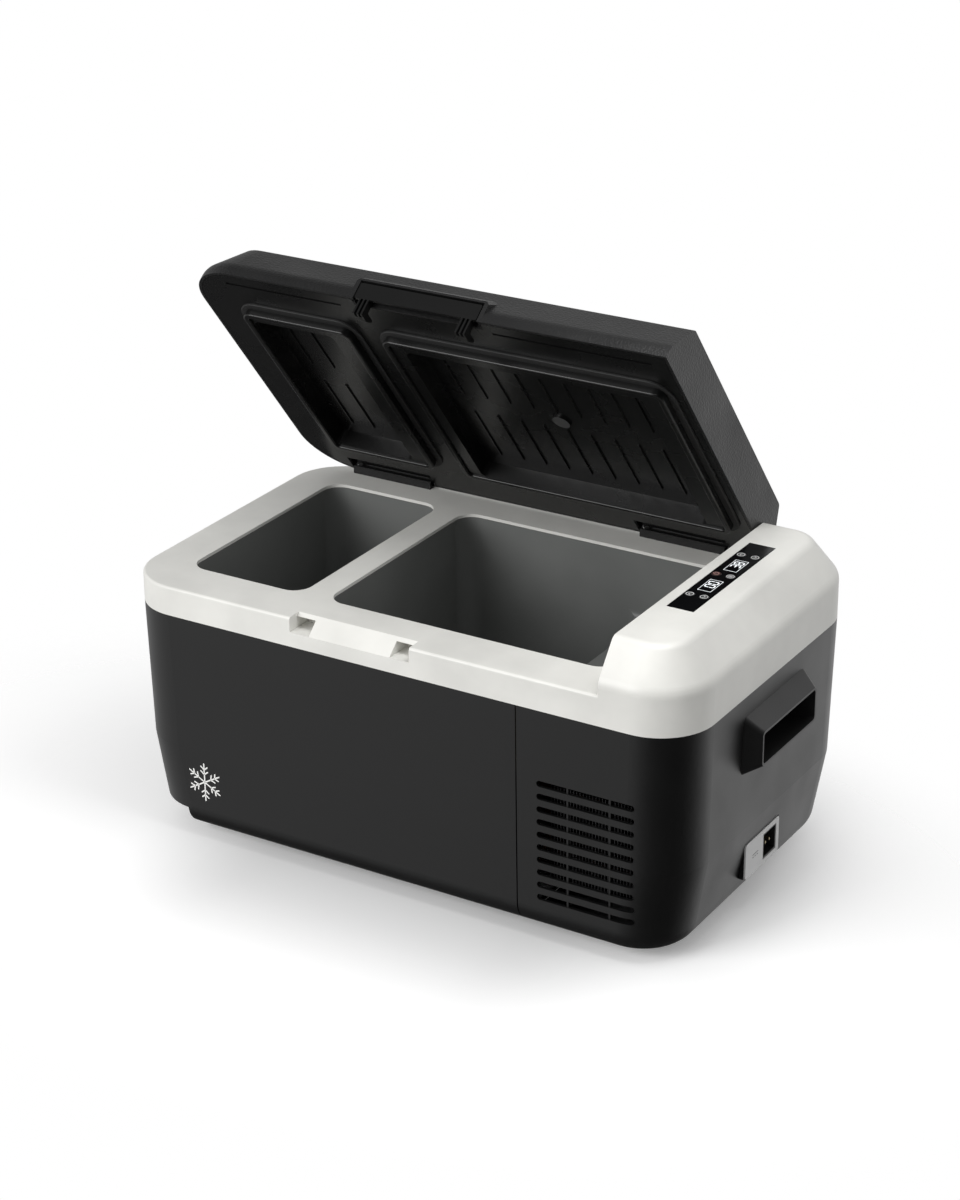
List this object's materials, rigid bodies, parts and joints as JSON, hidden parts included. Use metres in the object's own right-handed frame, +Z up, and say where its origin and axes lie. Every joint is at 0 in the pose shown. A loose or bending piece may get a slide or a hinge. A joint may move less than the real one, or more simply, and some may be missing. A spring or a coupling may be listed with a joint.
{
  "type": "compressor cooler fridge",
  "caption": "Two-zone portable compressor fridge with a hinged top lid, front latch, side console with keys, vents, end handles and low-voltage inlet.",
  "frame": {"origin": "point on the ground under the middle of the body, level with the undersides of the feet (the open lid reaches a few millimetres past the rear, so the box centre lies about 4 mm behind it)", "axes": "+X towards the compressor end, -Y front with the latch, +Z up"},
  "size_m": [0.607, 0.3426, 0.5256],
  "materials": {
    "body_plastic": "matte",
    "handle_plastic": "matte",
    "frame_plastic": "satin",
    "liner_plastic": "satin",
    "sheet_steel": "satin",
    "refrigerant_tube": "satin",
    "sensor_metal": "satin",
    "foam": "matte",
    "foot_rubber": "matte",
    "fastener_steel": "satin",
    "compressor_paint": "satin",
    "pump_iron": "matte",
    "black_plastic": "matte",
    "fin_aluminium": "satin",
    "copper_tube": "satin",
    "panel_film": "gloss",
    "display_glass": "gloss",
    "circuit_board": "satin",
    "cable_jacket": "matte",
    "inlet_plastic": "satin",
    "contact_brass": "polished",
    "hinge_plastic": "matte",
    "lid_plastic": "matte",
    "lid_inner_plastic": "satin",
    "gasket_rubber": "matte",
    "latch_plastic": "satin",
    "key_plastic": "satin",
    "key_power_plastic": "satin"
  },
  "bodies": {
    "body": {"outer_shell": "body_plastic", "compressor_cover": "body_plastic", "handle_left": "handle_plastic", "handle_right": "handle_plastic", "top_frame": "frame_plastic", "liner_left": "liner_plastic", "liner_right": "liner_plastic", "bulkhead": "sheet_steel", "evaporator_coil": "refrigerant_tube", "temperature_sensor": "sensor_metal", "insulation_foam": "foam", "feet": "foot_rubber", "foot_screws": "fastener_steel", "compressor_base_plate": "sheet_steel", "compressor_grommets": "foot_rubber", "compressor_bolts": "fastener_steel", "compressor_shell": "compressor_paint", "compressor_pump": "pump_iron", "terminal_cover": "black_plastic", "condenser_fins": "fin_aluminium", "condenser_tube": "copper_tube", "fan_frame": "black_plastic", "filter_drier": "copper_tube", "discharge_line": "copper_tube", "suction_line": "copper_tube", "liquid_line": "copper_tube", "capillary_tube": "copper_tube", "control_panel": "panel_film", "display_left_zone": "display_glass", "display_right_zone": "display_glass", "display_board": "circuit_board", "key_switches": "black_plastic", "control_board": "circuit_board", "board_components": "black_plastic", "heat_sink": "fin_aluminium", "display_cable": "cable_jacket", "inlet_plate": "inlet_plastic", "inlet_socket": "black_plastic", "inlet_pins": "contact_brass", "hinge_screws": "fastener_steel", "hinge_bracket_left": "hinge_plastic", "hinge_bracket_right": "hinge_plastic", "hinge_pins": "fastener_steel"},
    "lid": {"lid_outer_shell": "lid_plastic", "lid_inner_panel": "lid_inner_plastic", "lid_foam": "foam", "gasket_left": "gasket_rubber", "gasket_right": "gasket_rubber", "hinge_leaf_left": "hinge_plastic", "hinge_leaf_right": "hinge_plastic", "latch_pin": "fastener_steel", "latch_spring": "fastener_steel"},
    "latch": {"latch_flap": "latch_plastic"},
    "fan": {"fan_rotor": "black_plastic"},
    "key_left_up_cap": {"key_left_up": "key_plastic"},
    "key_power_cap": {"key_power": "key_power_plastic"},
    "key_right_up_cap": {"key_right_up": "key_plastic"},
    "key_left_down_cap": {"key_left_down": "key_plastic"},
    "key_set_cap": {"key_set": "key_plastic"},
    "key_right_down_cap": {"key_right_down": "key_plastic"}
  },
  "joints": [
    {"name": "lid_hinge", "type": "hinge", "parent": "body", "child": "lid", "pos_m": [0, 0.161, 0.264], "axis": [-1, 0, 0], "range_deg": [-51, 44]},
    {"name": "latch_pivot", "type": "hinge", "parent": "lid", "child": "latch", "pos_m": [-0.041, -0.04015, 0.51622], "axis": [-1, 0, 0], "range_deg": [0, 20], "stiffness_Nm_per_rad": 0.3, "springref_deg": -11.46},
    {"name": "fan_spin", "type": "hinge", "parent": "body", "child": "fan", "pos_m": [0.197, -0.1125, 0.098], "axis": [0, 1, 0], "continuous": true},
    {"name": "key_left_up_press", "type": "slide", "parent": "body", "child": "key_left_up_cap", "axis": [0, 0, -1], "range_m": [0, 0.0005], "stiffness_N_per_m": 3000, "springref_m": -0.0002},
    {"name": "key_power_press", "type": "slide", "parent": "body", "child": "key_power_cap", "axis": [0, 0, -1], "range_m": [0, 0.0005], "stiffness_N_per_m": 3000, "springref_m": -0.0002},
    {"name": "key_right_up_press", "type": "slide", "parent": "body", "child": "key_right_up_cap", "axis": [0, 0, -1], "range_m": [0, 0.0005], "stiffness_N_per_m": 3000, "springref_m": -0.0002},
    {"name": "key_left_down_press", "type": "slide", "parent": "body", "child": "key_left_down_cap", "axis": [0, 0, -1], "range_m": [0, 0.0005], "stiffness_N_per_m": 3000, "springref_m": -0.0002},
    {"name": "key_set_press", "type": "slide", "parent": "body", "child": "key_set_cap", "axis": [0, 0, -1], "range_m": [0, 0.0005], "stiffness_N_per_m": 3000, "springref_m": -0.0002},
    {"name": "key_right_down_press", "type": "slide", "parent": "body", "child": "key_right_down_cap", "axis": [0, 0, -1], "range_m": [0, 0.0005], "stiffness_N_per_m": 3000, "springref_m": -0.0002}
  ]
}
